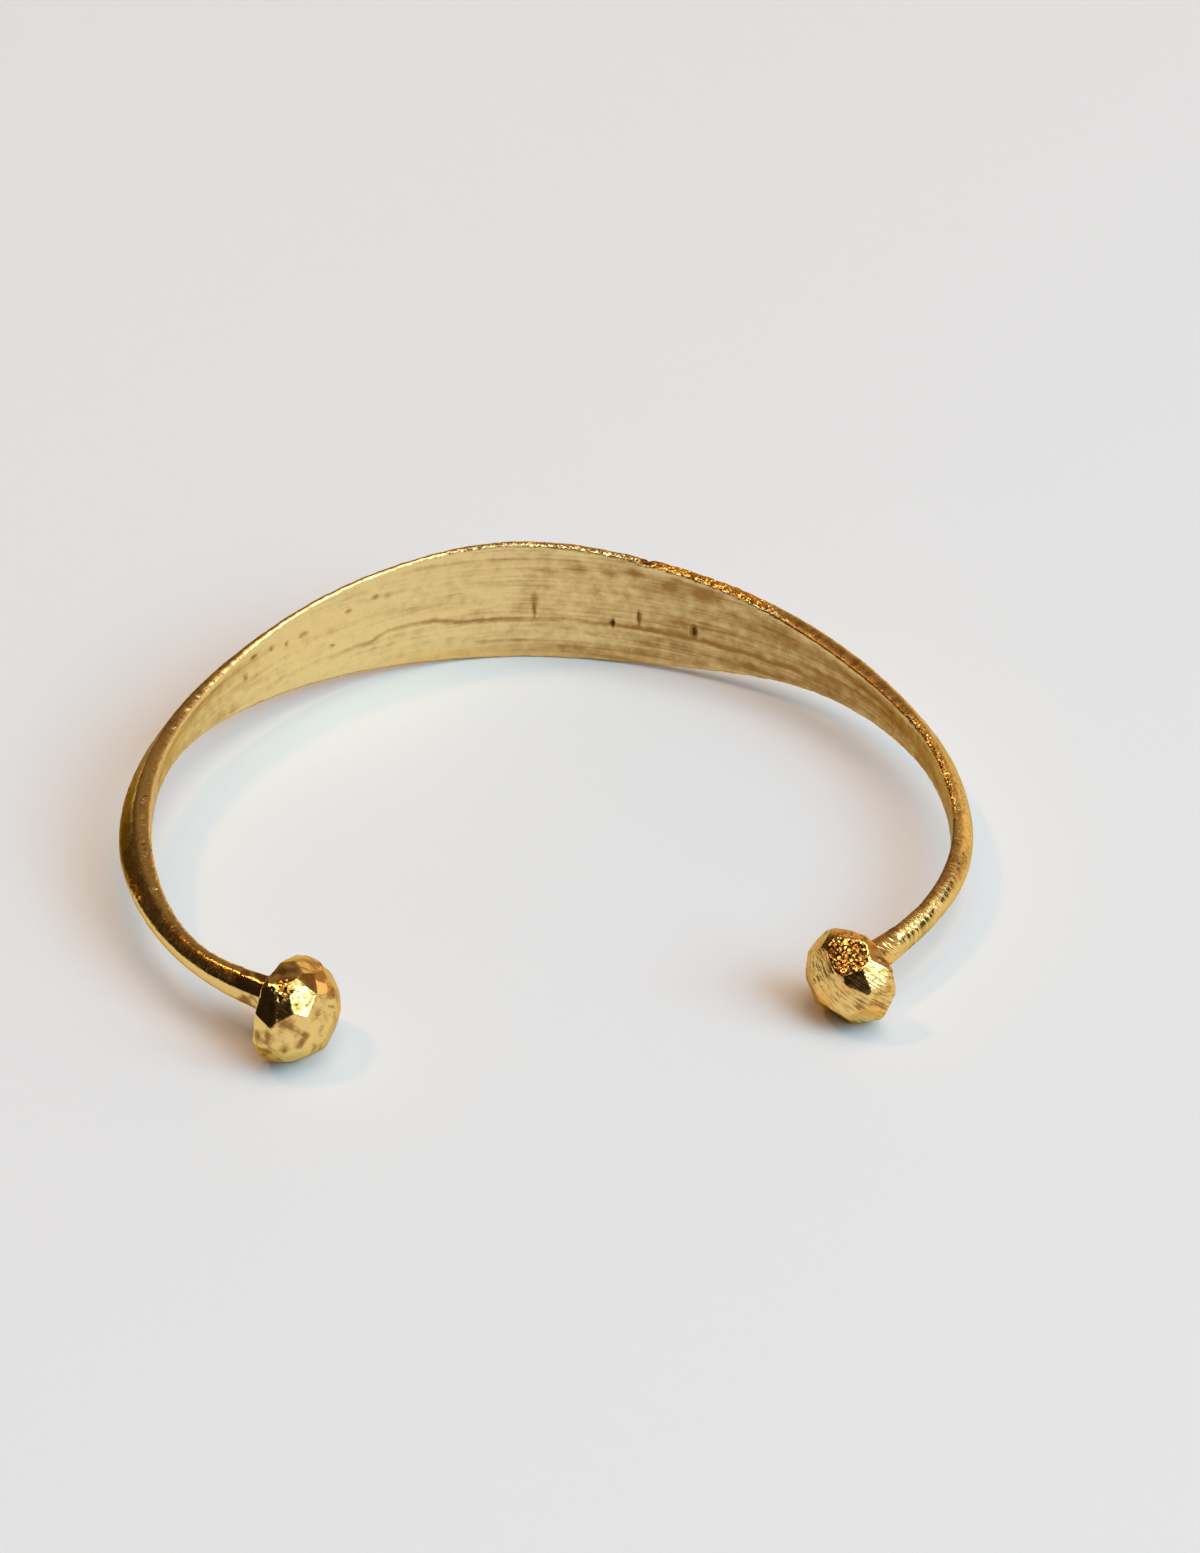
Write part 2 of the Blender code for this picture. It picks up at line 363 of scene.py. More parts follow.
def groove(tree, along, height, half_width):
    """The long dark line that wanders along the band's inner face."""
    step = product(
        tree,
        GROOVE_STEP,
        bump_at(tree, along, GROOVE_STEP_MIDDLE, GROOVE_STEP_REACH),
        ramp(tree, along, *GROOVE_STEP_BEGINS),
    )
    waves = centred_noise(tree, joined(tree, along), 0.35, 3.0)
    wander = maths(tree, "MULTIPLY", waves, GROOVE_WANDER)
    line = total_of(tree, step, wander, GROOVE_LEVEL)
    narrowed = half_width * GROOVE_NARROWING
    reach = ramp(tree, along, *GROOVE_NARROWS, half_width, narrowed)
    away = maths(tree, "ABSOLUTE", maths(tree, "SUBTRACT", height, line))
    return product(
        tree,
        fade(tree, maths(tree, "DIVIDE", away, reach), 0.0, 1.0),
        ramp(tree, along, *GROOVE_FADES_IN, 0.10, 0.75),
        fade(tree, along, *GROOVE_ENDS),
    )


def spots(tree, along, height, marks, core=SPOT_CORE):
    """Soft-edged spots, whole as far as their core and gone past their edge."""
    place = joined(tree, along, height)
    total = None
    for middle, level, half_length, half_height, *strength in marks:
        away = vector_maths(tree, "SUBTRACT", place, (middle, level, 0.0))
        share = vector_maths(
            tree, "MULTIPLY", away, (1 / half_length, 1 / half_height, 0.0)
        )
        reach = vector_maths(tree, "LENGTH", share)
        most = strength[0] if strength else 1.0
        spot = ramp(tree, reach, core, SPOT_EDGE, most, 0.0)
        total = maths(tree, "MAXIMUM", total, spot) if total else spot
    return total


class CuffMetalSettings(bpy.types.PropertyGroup):
    """Sizes and colours of the cast metal."""

    grain_size: FloatProperty(
        name="Grain Size",
        description="Size of the mesh's faces on the casting",
        default=0.215 * MM,
        min=0.1 * MM,
        unit="LENGTH",
        precision=6,
    )
    polished: FloatVectorProperty(
        name="Polished Brass",
        description="Colour of the outside, the edges, the arms and the knobs",
        default=(0.93, 0.65, 0.23),
        subtype="COLOR",
    )
    satin: FloatVectorProperty(
        name="Satin Brass",
        description="Colour of the hoop's inner face",
        default=(0.90, 0.67, 0.30),
        subtype="COLOR",
    )
    # Amber is also a painted glint colour where the glitter is strong
    amber_and_glint_tint: FloatVectorProperty(
        name="Amber",
        description="Colour of the glints, the right knob's spots and the band's lower strip",
        default=(0.95, 0.45, 0.09),
        subtype="COLOR",
    )
    edge: FloatVectorProperty(
        name="Edge Tint",
        description="Tint of the brass where it is seen almost along its surface",
        default=(0.86, 0.66, 0.34),
        subtype="COLOR",
    )
    # The tarnish colour is also laid on as painted reflection and shade on upward faces and knob
    # facets
    tarnish_and_dark_reflection: FloatVectorProperty(
        name="Tarnish",
        description="Colour of the brown film on worn and hollow places",
        default=(0.36, 0.18, 0.045),
        subtype="COLOR",
    )
    # The dark film colour is also a painted dark reflection on the right knob's dark facet
    dark_film_and_dark_reflection: FloatVectorProperty(
        name="Dark Film",
        description="Colour of the oxide in pits, creases and dark lines",
        default=(0.055, 0.032, 0.014),
        subtype="COLOR",
    )


class CuffStageSettings(bpy.types.PropertyGroup):
    """The floor and the light."""

    floor: FloatVectorProperty(
        name="Floor",
        description="Colour of the studio floor",
        default=(0.80, 0.79, 0.79),
        subtype="COLOR",
    )
    room: FloatProperty(
        name="Room Light",
        description="Strength of the light that comes from the walls and the ceiling",
        default=1.0,
        min=0.0,
    )
    warm_room: FloatVectorProperty(
        name="Warm Room",
        description="Colour of the ceiling, of the low glow and of the overhead lamp",
        default=(1.0, 0.84, 0.70),
        subtype="COLOR",
    )
    brown_wall: FloatVectorProperty(
        name="Brown Wall",
        description="Colour of the dim walls, which the cuff's upper faces mirror",
        default=(1.0, 0.69, 0.46),
        subtype="COLOR",
    )
    cool_window: FloatVectorProperty(
        name="Cool Window",
        description="Colour of the light from the window and the skylight",
        default=(0.42, 0.75, 1.0),
        subtype="COLOR",
    )
    lamp_glow: FloatVectorProperty(
        name="Lamp Glow",
        description="Colour of the small warm lamp on the left",
        default=(1.0, 0.50, 0.14),
        subtype="COLOR",
    )


class CUFF_OT_cast_metal(bpy.types.Operator):
    """Make the detailed casting round a copy of the solid."""

    bl_idname = "cuff.cast_metal"
    bl_label = "Cast Metal"

    def execute(self, context):
        settings = context.scene.cuff_metal
        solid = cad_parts[SOLID]
        smooth_solid = merged_copy(solid, "solid_copy")
        piece = merged_copy(solid, CASTING)
        apply_modifier(piece, "REMESH", mode="VOXEL", voxel_size=settings.grain_size)
        refine_knobs(piece)
        apply_modifier(piece, "SHRINKWRAP", target=smooth_solid)
        apply_modifier(piece, "SMOOTH", factor=0.5, iterations=2)
        select_only(smooth_solid)
        bpy.ops.object.delete()
        work_surface(piece)
        select_only(piece)
        bpy.ops.object.shade_smooth()
        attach(piece, "root")
        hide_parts(SOLID)
        return {"FINISHED"}


def select_only(piece):
    bpy.ops.object.select_all(action="DESELECT")
    piece.select_set(True)
    bpy.context.view_layer.objects.active = piece


def apply_modifier(piece, kind, **settings):
    select_only(piece)
    made = piece.modifiers.new(kind, kind)
    for name, value in settings.items():
        setattr(made, name, value)
    bpy.ops.object.modifier_apply(modifier=made.name)


def merged_copy(solid, name):
    """Copy a CAD node's mesh into an object of its own, with its points joined."""
    piece = bpy.data.objects.new(name, solid.data.copy())
    piece.data.name = name
    bpy.context.scene.collection.objects.link(piece)
    select_only(piece)
    bpy.ops.object.mode_set(mode="EDIT")
    bpy.ops.mesh.select_all(action="SELECT")
    bpy.ops.mesh.remove_doubles(threshold=0.001 * MM)
    bpy.ops.object.mode_set(mode="OBJECT")
    piece.data.materials.clear()
    return piece


def near_knobs(point):
    place = point / MM
    return any(
        (place - Vector(knob)).length < KNOB_REFINED_REACH for knob in (LEFT_KNOB, RIGHT_KNOB)
    )


def refine_knobs(piece):
    """Divide the knobs' faces once more than the rest."""
    select_only(piece)
    bpy.ops.object.mode_set(mode="EDIT")
    bpy.ops.mesh.select_all(action="DESELECT")
    bpy.ops.object.mode_set(mode="OBJECT")
    for face in piece.data.polygons:
        face.select = near_knobs(face.center)
    bpy.ops.object.mode_set(mode="EDIT")
    bpy.ops.mesh.select_mode(type="FACE")
    bpy.ops.mesh.subdivide(number_cuts=1)
    bpy.ops.object.mode_set(mode="OBJECT")


def work_surface(piece):
    """Work the casting's relief into its mesh, and keep what the brass reads."""
    tree = bpy.data.node_groups.new("cast_relief", "GeometryNodeTree")
    for way in ("INPUT", "OUTPUT"):
        tree.interface.new_socket("Geometry", in_out=way, socket_type="NodeSocketGeometry")
    start = add(tree, "NodeGroupInput").outputs[0]
    at = surface_of(tree)
    zone = zones_of(tree, at)
    mark = marks_of(tree, at, zone)
    relief = relief_height(tree, at, zone, mark)
    offset = vector_maths(
        tree,
        "ADD",
        scaled(tree, at.normal, maths(tree, "MULTIPLY", relief, MM)),
        scaled(tree, at.outward, maths(tree, "MULTIPLY", rim_lean(tree, at, zone), MM)),
    )
    result = add(tree, "GeometryNodeSetPosition", {0: start, "Offset": offset}).outputs[0]
    # The speckled rim and the dark facet never meet, so one number keeps both: it is
    # over 0 on the rim and under 0 on the facet
    speckled_or_dark = maths(tree, "SUBTRACT", mark.speckled, mark.dark_facet)
    film_and_painted_reflection, glitter = film_and_painted_reflection_areas(tree, at, zone, mark), glitter_of(tree, at, zone, mark)
    kept = {
        "hoop": (at.along, at.height, zone.inner),
        "wear": (ridge_of(tree, at), relief, zone.knobs),
        "marks": (film_and_painted_reflection, glitter, speckled_or_dark),
        "zones": (zone.arms, zone.top, at.across),
    }
    for name, values in kept.items():
        result = store(tree, result, name, joined(tree, *values))
    add(tree, "NodeGroupOutput", {0: result})
    apply_modifier(piece, "NODES", node_group=tree)
    bpy.data.node_groups.remove(tree)


def store(tree, geometry, name, vector):
    """Keep a vector at the mesh's points under a name."""
    return add(
        tree,
        "GeometryNodeStoreNamedAttribute",
        {"Geometry": geometry, "Name": name, "Value": vector},
        data_type="FLOAT_VECTOR",
        domain="POINT",
    ).outputs[0]


def surface_of(tree):
    """Where a point of the surface is, and which way it faces."""
    position = add(tree, "GeometryNodeInputPosition").outputs[0]
    normal = add(tree, "GeometryNodeInputNormal").outputs[0]
    place = vector_maths(tree, "MULTIPLY", position, (1 / MM,) * 3)
    along, height, across, outward = hoop_coordinates(tree, place)
    return SimpleNamespace(
        position=position,
        normal=normal,
        place=place,
        along=along,
        height=height,
        across=across,
        outward=outward,
        facing=vector_maths(tree, "DOT_PRODUCT", normal, outward),
        upward=separated(tree, normal)[2],
    )


def hoop_coordinates(tree, place):
    """Where a point is on the hoop.

    Gives the arc length, the height over the metal's middle, how far out from the middle
    line of its arm, and the level direction away from the hoop's centre.
    """
    x, y, z = separated(tree, place)
    aside = maths(tree, "SUBTRACT", x, HOOP_CENTRE[0])
    back = maths(tree, "SUBTRACT", y, HOOP_CENTRE[1])
    along = maths(tree, "MULTIPLY", maths(tree, "ARCTAN2", aside, back), HOOP_RADIUS)
    rise = maths(tree, "MULTIPLY", y, MIDDLE_HEIGHT_SLOPE)
    middle = maths(tree, "ADD", rise, MIDDLE_HEIGHT_AT_CENTRE)
    height = maths(tree, "SUBTRACT", z, middle)
    outward = joined(tree, aside, back)
    line = mix_value(
        tree,
        right_half(tree, along),
        curve_at(tree, along, LEFT_ARM_LINE),
        curve_at(tree, along, RIGHT_ARM_LINE),
    )
    across = maths(tree, "SUBTRACT", vector_maths(tree, "LENGTH", outward), line)
    return along, height, across, vector_maths(tree, "NORMALIZE", outward)


def knob_mask(tree, place, knob):
    away = vector_maths(tree, "DISTANCE", place, knob)
    return fade(tree, away, KNOB_REACH, KNOB_REACH + KNOB_FADE)


def facet_mask(tree, normal, direction, knob):
    """1 on the facet of a knob that looks in a direction."""
    like = vector_maths(tree, "DOT_PRODUCT", normal, direction)
    return maths(tree, "MULTIPLY", ramp(tree, like, *FACET_LIKENESS), knob)


def zones_of(tree, at):
    """Masks of the cuff's regions. The leaf is the band without the arms."""
    left_knob = knob_mask(tree, at.place, LEFT_KNOB)
    right_knob = knob_mask(tree, at.place, RIGHT_KNOB)
    knobs = maths(tree, "MAXIMUM", left_knob, right_knob)
    hoop = maths(tree, "SUBTRACT", 1.0, knobs)
    from_middle = maths(tree, "ABSOLUTE", at.along)
    arms = product(tree, ramp(tree, from_middle, *ARMS_BEGIN), hoop)
    right = right_half(tree, at.along)
    level = maths(tree, "ABSOLUTE", at.upward)
    return SimpleNamespace(
        left_knob=left_knob,
        right_knob=right_knob,
        knobs=knobs,
        hoop=hoop,
        arms=arms,
        leaf=maths(tree, "SUBTRACT", hoop, arms),
        right=right,
        left=maths(tree, "SUBTRACT", 1.0, right),
        inner=product(tree, ramp(tree, at.facing, -0.35, -0.75), hoop),
        top=ramp(tree, at.upward, 0.3, 0.6),
        rim=product(tree, ramp(tree, level, 0.3, 0.7), hoop),
    )


def marks_of(tree, at, zone):
    """Masks of the marks that more than one of the finishes uses."""
    inner_rim = product(
        tree,
        bump_at(tree, at.across, -0.8, 0.6),
        ramp(tree, at.upward, 0.1, 0.4),
        zone.arms,
        zone.left,
    )
    pit_noise = noise(tree, at.place, 2.5, 2.0, 0.6)
    return SimpleNamespace(
        inner_rim=inner_rim,
        pits=product(tree, ramp(tree, pit_noise, 0.52, 0.66), inner_rim),
        nick=product(tree, bump_at(tree, at.along, NICK_PLACE, NICK_HALF_LENGTH), zone.top),
        neck_highlight=product(
            tree,
            ramp(tree, at.along, *NECK_HIGHLIGHT_BEGINS),
            ramp(tree, at.across, -0.2, 0.1),
            zone.arms,
        ),
        speckled=product(
            tree, zone.top, zone.leaf, stretch_mask(tree, at.along, SPECKLED_RIM)
        ),
        bright_facet=facet_mask(tree, at.normal, LEFT_BRIGHT_FACET, zone.left_knob),
        sparkling_facet=facet_mask(tree, at.normal, SPARKLING_FACET, zone.right_knob),
        dark_facet=facet_mask(tree, at.normal, DARK_FACET, zone.right_knob),
    )


def relief_height(tree, at, zone, mark):
    """How far the worked surface stands over the smooth one."""
    streaks = centred_noise(
        tree, stretched(tree, at.along, at.height, 0.06, 1.3), 1.0, 3.0, 0.6
    )
    coarse_crinkle = centred_noise(tree, at.place, 0.9, 3.0)
    fine_crinkle = centred_noise(tree, at.place, 2.2)
    file_wave = {
        "Vector": joined(tree, at.along, at.across),
        "Scale": 0.55,
        "Distortion": 2.5,
        "Detail": 2.0,
        "Detail Scale": 1.5,
    }
    file_marks = maths(
        tree, "SUBTRACT", add(tree, "ShaderNodeTexWave", file_wave).outputs[1], 0.5
    )
    neck = product(tree, ramp(tree, at.along, *NECK_BEGINS), zone.hoop)
    knob_waves = centred_noise(tree, at.place, 0.55, 1.0)
    return layered(
        tree,
        # The unevenness of a casting, all over
        (0.045, centred_noise(tree, at.place, 0.28)),
        (0.020, centred_noise(tree, at.place, 1.1)),
        # The band's inner face
        (0.05, streaks, zone.inner, zone.leaf),
        (-0.05, groove(tree, at.along, at.height, GROOVE_HALF_WIDTH), zone.inner),
        (-0.12, spots(tree, at.along, at.height, DENTS), zone.inner),
        (-0.03, spots(tree, at.along, at.height, FRECKLES), zone.inner),
        # The rims, which are rougher on the right
        (0.06, coarse_crinkle, zone.rim, ramp(tree, at.along, *RIM_ROUGHENS, 0.5, 1.0)),
        (
            0.045,
            fine_crinkle,
            zone.rim,
            zone.top,
            ramp(tree, at.along, *RIM_ROUGHENS, 0.25, 1.0),
        ),
        (-0.30, mark.nick),
        (-0.12, mark.pits),
        # The file marks on the right arm's neck
        (0.028, file_marks, neck, zone.top),
        # The knobs, of which the left is the softer
        (0.08, knob_waves, zone.left_knob),
        (0.025, knob_waves, zone.right_knob),
        (0.022, centred_noise(tree, at.place, 1.6), zone.knobs),
    )


def rim_lean(tree, at, zone):
    """How far the upper inner rims lean in, where the band runs into the arms."""
    leans = []
    for rim, depth, middle, reach, strength in LEANING_RIMS:
        over_rim = maths(tree, "SUBTRACT", at.height, curve_at(tree, at.along, rim))
        leans.append(
            product(
                tree,
                ramp(tree, over_rim, -depth, -RIM_EDGE),
                bump_at(tree, at.along, middle, reach),
                strength,
            )
        )
    return product(
        tree,
        maths(tree, "MAXIMUM", *leans),
        ramp(tree, at.facing, 0.2, -0.3),
        zone.hoop,
        -LEAN_DEPTH,
    )


def ridge_of(tree, at):
    """How far a point stands over the blurred surface round it, in ridge heights."""
    blurred = add(
        tree,
        "GeometryNodeBlurAttribute",
        {0: at.position, 1: RIDGE_BLUR_ROUNDS},
        data_type="FLOAT_VECTOR",
    ).outputs[0]
    lift = vector_maths(tree, "SUBTRACT", at.position, blurred)
    bulge = vector_maths(tree, "DOT_PRODUCT", lift, at.normal)
    return maths(tree, "MULTIPLY", bulge, 1 / (RIDGE_HEIGHT * MM))


def film_and_painted_reflection_areas(tree, at, zone, mark):
    """The brown film's broad areas, partly tarnish and partly painted reflection and shade: the
    arms' tops, the band's upper rim and the knobs' facets are darker or lighter by the way they
    face. The brass adds its finer patterns to them.
    """
    left_top = facet_mask(tree, at.normal, LEFT_TOP_FACET, zone.left_knob)
    left_side = facet_mask(tree, at.normal, LEFT_SIDE_FACET, zone.left_knob)
    left_back = facet_mask(tree, at.normal, LEFT_BACK_FACET, zone.left_knob)
    outer_half = ramp(tree, at.across, -0.30, 0.15)
    outer_side = product(
        tree,
        ramp(tree, at.across, 0.0, 0.5),
        ramp(tree, at.upward, -0.25, 0.1),
        stretch_mask(tree, at.along, DULL_OUTER_SIDE),
        zone.hoop,
    )
    # Where the rim faces up and inward: a painted dark reflection
    painted_dark_reflection = product(
        tree,
        ramp(tree, at.upward, 0.45, 0.75),
        ramp(tree, at.facing, 0.15, -0.20),
        stretch_mask(tree, at.along, PAINTED_DARK_REFLECTION_STRETCH),
        zone.hoop,
    )
    return layered(
        tree,
        # The inner face, darker to the right and at its left end
        (ramp(tree, at.along, -14.0, 26.0, 0.02, 0.55), zone.inner),
        (0.24, ramp(tree, at.along, -22.0, -28.0), zone.inner),
        (0.38, spots(tree, at.along, at.height, BLOTCHES, 0.0), zone.inner),
        # The arms' tops: a painted dark reflection on the left one's outer half and a painted
        # lighter inner half; film and painted dark reflection on the right one's inner half; film
        # on its neck
        (maths(tree, "MULTIPLY_ADD", outer_half, 0.90, -0.30), zone.top, zone.arms, zone.left),
        (0.42, ramp(tree, at.across, 0.40, -0.10), zone.top, zone.arms, zone.right),
        (0.55, ramp(tree, at.along, 50.0, 55.0), zone.top, zone.arms),
        # A painted highlight on the right arm's neck, where the film is taken away
        (-0.8, mark.neck_highlight),
        # The band's upper rim: film laid on its upward faces as painted shade over their
        # reflection, strongest at the left end and again to the right, and the painted dark
        # reflection where it turns inward
        (ramp(tree, at.along, -12.0, -1.0, 0.95, 0.2), zone.top, zone.leaf),
        (0.35, ramp(tree, at.along, 9.0, 14.0), zone.top, zone.leaf),
        (0.75, painted_dark_reflection),
        (-0.4, mark.nick),
        # The left arm's outer side and pits
        (0.75, outer_side),
        (1.1, mark.pits),
        # The knobs' facets: film added or taken away by the way each faces, painted reflections
        # that make some darker and some lighter
        (0.10, left_top),
        (0.95, left_side),
        (-0.35, left_back),
        (0.50, mark.bright_facet),
        (0.08, mark.sparkling_facet),
        (-0.5, mark.dark_facet),
    )


def glitter_of(tree, at, zone, mark):
    """Where small rough cells catch the light, each in its own direction. Where it is strong the
    brass is tinted amber as well, a painted glint colour.
    """
    crest_reach = vector_maths(tree, "DISTANCE", at.place, LEFT_KNOB_CREST)
    return layered(
        tree,
        # The knobs
        (0.26, mark.bright_facet),
        # The left knob's crest, whose amber tint is a painted orange highlight
        (fade(tree, crest_reach, 0.4, 1.1), zone.left_knob),
        (mark.sparkling_facet,),
        # The band's upper rim
        (stretch_mask(tree, at.along, GLINTING_RIM), zone.top, zone.leaf),
        (0.5, mark.speckled),
        # The right arm's upper inner edge, its neck and its top
        (
            stretch_mask(tree, at.along, GLINTING_ARM),
            bump_at(tree, at.across, -0.75, 0.5),
            ramp(tree, at.upward, 0.1, 0.35),
            zone.hoop,
        ),
        (0.22, mark.neck_highlight),
        (0.05, zone.top, zone.arms, zone.right),
        # The left arm's outer ridge and inner rim
        (0.8, bump_at(tree, at.across, 0.75, 0.4), bump_at(tree, at.along, -52.0, 3.5), zone.arms),
        (0.2, mark.inner_rim),
    )


class CUFF_OT_brass_finish(bpy.types.Operator):
    """Give the casting its brass, with rubbed edges and tarnish in the hollows."""

    bl_idname = "cuff.brass_finish"
    bl_label = "Brass Finish"

    def execute(self, context):
        settings = context.scene.cuff_metal
        piece = bpy.data.objects[CASTING]
        piece.data.materials.clear()
        piece.data.materials.append(cast_brass(settings))
        return {"FINISHED"}


def cast_brass(settings):
    """Bare brass under a brown film and dark oxide, which also carry painted reflections and
    shade, with scratches and glints.
    """
    material = bpy.data.materials.new("cast_brass")
    material.use_nodes = True
    tree = material.node_tree
    tree.nodes.clear()
    at = kept_surface(tree)
    film_and_painted_reflection = film_and_painted_reflection_cover(tree, at)
    oxide_and_dark_reflection = oxide_and_dark_reflection_cover(tree, at)
    shader = add(
        tree,
        "ShaderNodeBsdfPrincipled",
        {
            "Base Color": brass_colour(tree, at, film_and_painted_reflection, oxide_and_dark_reflection, settings),
            "Roughness": brass_roughness(tree, at, film_and_painted_reflection, oxide_and_dark_reflection),
            "Metallic": 1.0,
            "Normal": brass_normal(tree, at),
            "Specular Tint": colour(settings.edge),
        },
    )
    add(tree, "ShaderNodeOutputMaterial", {0: shader.outputs[0]})
    return material


def kept_vector(tree, name):
    """The three numbers of a vector that the casting keeps at its points."""
    return separated(
        tree, add(tree, "ShaderNodeAttribute", attribute_name=name).outputs["Vector"]
    )


def kept_surface(tree):
    """What the casting keeps at its points, and the patterns that are used twice."""
    own = add(tree, "ShaderNodeTexCoord").outputs["Object"]
    place = vector_maths(tree, "MULTIPLY", own, (1 / MM,) * 3)
    along, height, inner = kept_vector(tree, "hoop")
    ridge, relief, knobs = kept_vector(tree, "wear")
    broad_film_and_painted_reflection, glitter, speckled_or_dark = kept_vector(tree, "marks")
    arms, top, across = kept_vector(tree, "zones")
    dark_or_speckled = maths(tree, "MULTIPLY", speckled_or_dark, -1.0)
    wobble = centred_noise(tree, place, 1.8)
    slant = {"Vector": place, "Axis": (0.0, 1.0, 0.0), "Angle": SCRATCH_SLANT}
    slanted = add(tree, "ShaderNodeVectorRotate", slant).outputs[0]
    scratch_place = vector_maths(tree, "MULTIPLY", slanted, SCRATCH_SCALE)
    return SimpleNamespace(
        place=place,
        along=along,
        height=height,
        across=across,
        bent_along=maths(tree, "MULTIPLY_ADD", wobble, 0.30, along),
        bent_height=maths(tree, "MULTIPLY_ADD", wobble, 0.22, height),
        inner=inner,
        arms=arms,
        top=top,
        knobs=knobs,
        right=right_half(tree, along),
        low_strip=product(tree, ramp(tree, height, -3.4, -4.8), inner),
        ridge=ridge,
        relief=relief,
        broad_film_and_painted_reflection=broad_film_and_painted_reflection,
        glitter=glitter,
        speckled=maths(tree, "MAXIMUM", speckled_or_dark, 0.0),
        dark_facet=maths(tree, "MAXIMUM", dark_or_speckled, 0.0),
        fine_streaks=noise(tree, stretched(tree, along, height, 0.07, 3.6), 1.0, 3.0, 0.6),
        scratches=noise(tree, scratch_place, 1.0, 2.0, 0.6),
        grains=noise(tree, place, 3.4, 3.0, 0.65),
    )


def film_and_painted_reflection_cover(tree, at):
    """How much of the brass the brown film covers, with the painted reflections and shade among
    it.
    """
    mottle = noise(tree, at.place, 1.0, 5.0, 0.62)
    patches = noise(tree, at.place, 0.75, 2.0, 0.45)
    streaks = noise(tree, stretched(tree, at.along, at.height, 0.10, 0.9), 1.0, 4.0, 0.6)
    cover = layered(
        tree,
        (at.broad_film_and_painted_reflection,),
        (0.8, maths(tree, "SUBTRACT", mottle, 0.46)),
        (mix_value(tree, at.right, 4.4, 2.0), maths(tree, "SUBTRACT", patches, 0.46), at.knobs),
        (
            mix_value(tree, at.right, 0.8, 3.6),
            maths(tree, "SUBTRACT", at.scratches, 0.48),
            at.knobs,
        ),
        (0.40, ramp(tree, streaks, 0.46, 0.78), at.inner),
        (
            ramp(tree, at.along, -25.0, 2.0, 0.08, 0.20),
            ramp(tree, at.fine_streaks, 0.42, 0.74),
            at.inner,
        ),
        (0.24, groove(tree, at.bent_along, at.bent_height, GROOVE_HALF_WIDTH), at.inner),
        (0.50, spots(tree, at.bent_along, at.bent_height, DENTS, 0.0), at.inner),
        (0.42, spots(tree, at.bent_along, at.bent_height, FRECKLES, 0.0), at.inner),
        (0.08, at.low_strip),
        # More in the hollows, less on what stands out and is rubbed
        (-4.0, at.relief),
        (-0.30, at.ridge),
    )
    return ramp(tree, cover, 0.0, 1.0)


def oxide_and_dark_reflection_cover(tree, at):
    """How much of the brass the dark oxide covers; on the right knob's dark facet it is a painted
    dark reflection.
    """
    breaks = noise(tree, stretched(tree, at.along, at.across, 3.6, 0.8), 1.0)
    cover = layered(
        tree,
        (0.10, groove(tree, at.bent_along, at.bent_height, GROOVE_CORE_HALF_WIDTH), at.inner),
        (0.26, spots(tree, at.bent_along, at.bent_height, DENTS, 0.0), at.inner),
        # The broken dark line along the right arm's ridge
        (
            0.9,
            bump_at(tree, at.across, 0.42, 0.26),
            ramp(tree, at.along, 50.0, 58.0),
            ramp(tree, breaks, 0.42, 0.55),
            at.arms,
        ),
        # The right knob's dark facet: a painted dark reflection
        (0.82, at.dark_facet),
        (0.75, ramp(tree, at.grains, 0.50, 0.62), at.speckled),
        (0.9, ramp(tree, at.ridge, -0.35, -1.0)),
        (0.6, ramp(tree, at.grains, 0.54, 0.66), at.arms, at.top),
        (0.3, ramp(tree, at.grains, 0.60, 0.68), at.knobs, at.right),
    )
    return ramp(tree, cover, 0.0, 1.0)


def brass_colour(tree, at, film_and_painted_reflection, oxide_and_dark_reflection, settings):
    # Amber where the glitter is strong is a painted glint colour that makes the glints orange; the
    # band's lower strip and the right knob's warm spots take the same amber
    warm_noise = ramp(tree, noise(tree, at.place, 0.9, 3.0), 0.45, 0.65)
    warm_spots = product(tree, 0.6, warm_noise, at.knobs, at.right)
    warm_strip = maths(tree, "MULTIPLY", at.low_strip, 0.35)
    amber_and_glint_tint = maths(tree, "MAXIMUM", ramp(tree, at.glitter, 0.5, 0.9), warm_strip)
    amber_and_glint_tint = maths(tree, "MAXIMUM", amber_and_glint_tint, warm_spots)
    base = mix_colour(tree, at.inner, colour(settings.polished), colour(settings.satin))
    base = mix_colour(tree, amber_and_glint_tint, base, colour(settings.amber_and_glint_tint))
    base = mix_colour(tree, film_and_painted_reflection, base, colour(settings.tarnish_and_dark_reflection))
    return mix_colour(tree, oxide_and_dark_reflection, base, colour(settings.dark_film_and_dark_reflection))


def brass_roughness(tree, at, film_and_painted_reflection, oxide_and_dark_reflection):
    rubbed = maths(tree, "MAXIMUM", at.knobs, at.arms)
    film_rough = mix_value(tree, at.knobs, FILM_ROUGHNESS, KNOB_FILM_ROUGHNESS)
    oxide_rough = mix_value(tree, at.dark_facet, OXIDE_ROUGHNESS, DARK_FACET_ROUGHNESS)
    rough = mix_value(tree, at.inner, OUTER_ROUGHNESS, INNER_ROUGHNESS)
    rough = mix_value(tree, rubbed, rough, RUBBED_ROUGHNESS)
    rough = mix_value(tree, film_and_painted_reflection, rough, film_rough)
    rough = mix_value(tree, oxide_and_dark_reflection, rough, oxide_rough)
    return maths(tree, "MULTIPLY", rough, ramp(tree, at.grains, 0.3, 0.7, 0.8, 1.2))


